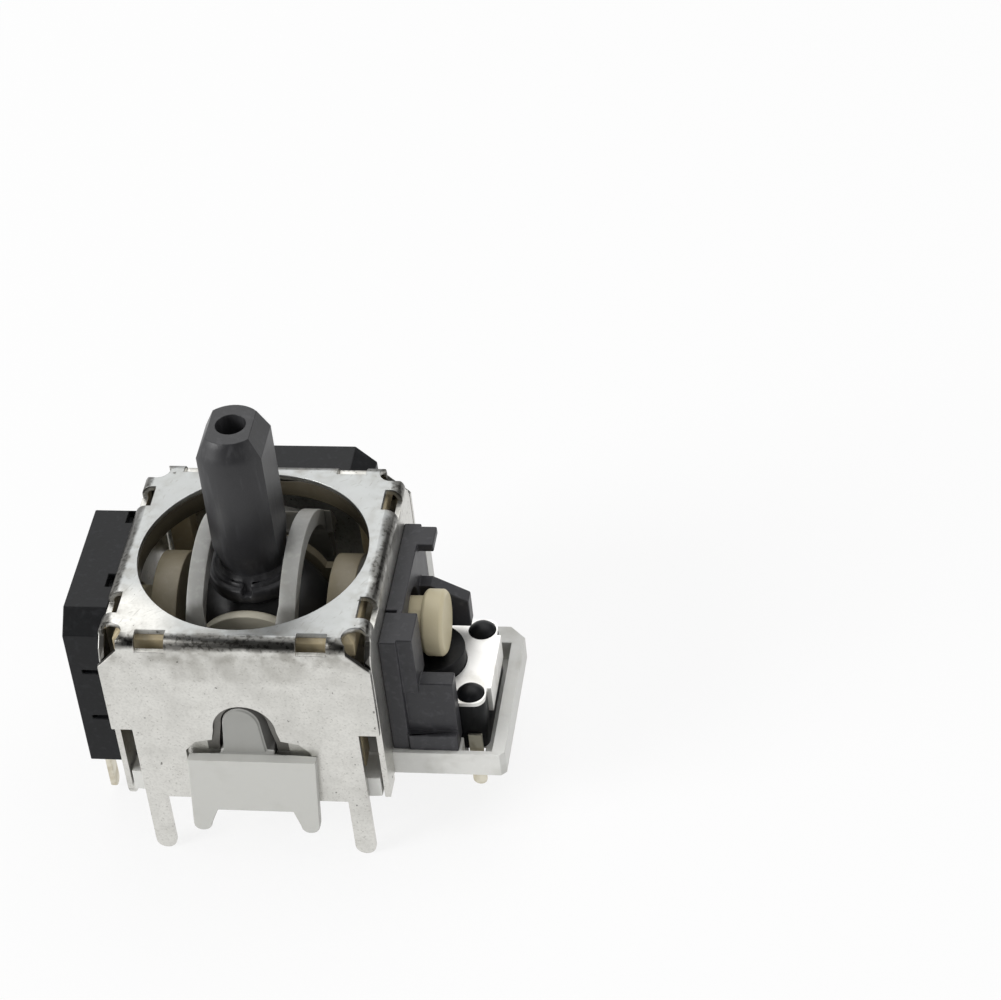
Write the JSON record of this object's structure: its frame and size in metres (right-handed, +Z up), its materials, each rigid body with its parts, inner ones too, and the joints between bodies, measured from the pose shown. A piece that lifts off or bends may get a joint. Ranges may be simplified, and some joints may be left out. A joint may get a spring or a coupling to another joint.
{
  "type": "two-axis analog stick module",
  "caption": "Board-mounted two-axis stick module: tilting lever in a folded steel frame, two rotary potentiometers and a push switch.",
  "frame": {"origin": "centre of the square steel frame on the board plane, which is the base's underside", "axes": "+X to the push switch, +Y to the rear potentiometer, +Z up along the lever at rest"},
  "size_m": [0.0209, 0.0159, 0.0219],
  "materials": {
    "tinned_steel": "tinned sheet with light scuffs",
    "light_grey_plastic": "satin moulded plastic",
    "dark_grey_plastic": "satin moulded plastic",
    "beige_plastic": "satin moulded plastic",
    "milky_plastic": "translucent moulded plastic",
    "black_plastic": "satin moulded plastic",
    "steel": "drawn wire and pin",
    "brass": "stamped sheet",
    "track_board": "laminate",
    "tin_plated": "tin plated sheet"
  },
  "bodies": {
    "housing": {"frame": "tinned_steel", "base": "light_grey_plastic", "switch_bracket": "dark_grey_plastic", "bearing_ring": "beige_plastic", "left_housing": "black_plastic", "left_track_board": "track_board", "left_terminal_1": "tin_plated", "left_terminal_2": "tin_plated", "left_terminal_3": "tin_plated", "rear_housing": "black_plastic", "rear_track_board": "track_board", "rear_terminal_1": "tin_plated", "rear_terminal_2": "tin_plated", "rear_terminal_3": "tin_plated", "switch_body": "black_plastic", "switch_cover": "tin_plated", "switch_dome": "tin_plated", "switch_terminal_1": "tin_plated", "switch_terminal_2": "tin_plated", "switch_terminal_3": "tin_plated", "switch_terminal_4": "tin_plated", "centring_spring": "steel"},
    "fore_aft_rotor": {"left_rotor": "black_plastic", "left_wiper": "brass"},
    "shaft": {"cross_shaft": "beige_plastic", "lever_pin": "steel"},
    "stick": {"lever": "dark_grey_plastic"},
    "yoke": {"upper_yoke": "milky_plastic", "rear_rotor": "black_plastic", "rear_wiper": "brass"},
    "plunger": {"switch_plunger": "black_plastic"},
    "spring_plate": {"centring_plate": "milky_plastic"}
  },
  "joints": [
    {"name": "tilt_fore_aft", "type": "hinge", "parent": "housing", "child": "fore_aft_rotor", "pos_m": [-0.00725, 0, 0.00595], "axis": [1, 0, 0], "range_deg": [-20, 20], "stiffness_Nm_per_rad": 0.01},
    {"name": "push", "type": "hinge", "parent": "fore_aft_rotor", "child": "shaft", "pos_m": [-0.00725, 0, 0.00595], "axis": [0, 1, 0], "range_deg": [0, 0.9], "stiffness_Nm_per_rad": 0.2},
    {"name": "tilt_left_right", "type": "hinge", "parent": "shaft", "child": "stick", "pos_m": [0, 0, 0.00595], "axis": [0, 1, 0], "range_deg": [-20, 20], "stiffness_Nm_per_rad": 0.01},
    {"name": "yoke_swing", "type": "hinge", "parent": "housing", "child": "yoke", "pos_m": [0, 0, 0.00595], "axis": [0, 1, 0], "range_deg": [-20, 20]},
    {"name": "plunger_press", "type": "slide", "parent": "housing", "child": "plunger", "axis": [0, 0, -1], "range_m": [0, 0.00025], "deforming": ["switch_dome"]},
    {"name": "plate_sink", "type": "slide", "parent": "housing", "child": "spring_plate", "axis": [0, 0, -1], "range_m": [0, 0.00012], "deforming": ["centring_spring"]}
  ],
  "couplings": [
    {"joint": "yoke_swing", "follows": "tilt_left_right", "ratio": 1},
    {"joint": "plunger_press", "follows": "push", "m_per_rad": 0.0158},
    {"joint": "plate_sink", "follows": "push", "m_per_rad": 0.00725}
  ]
}
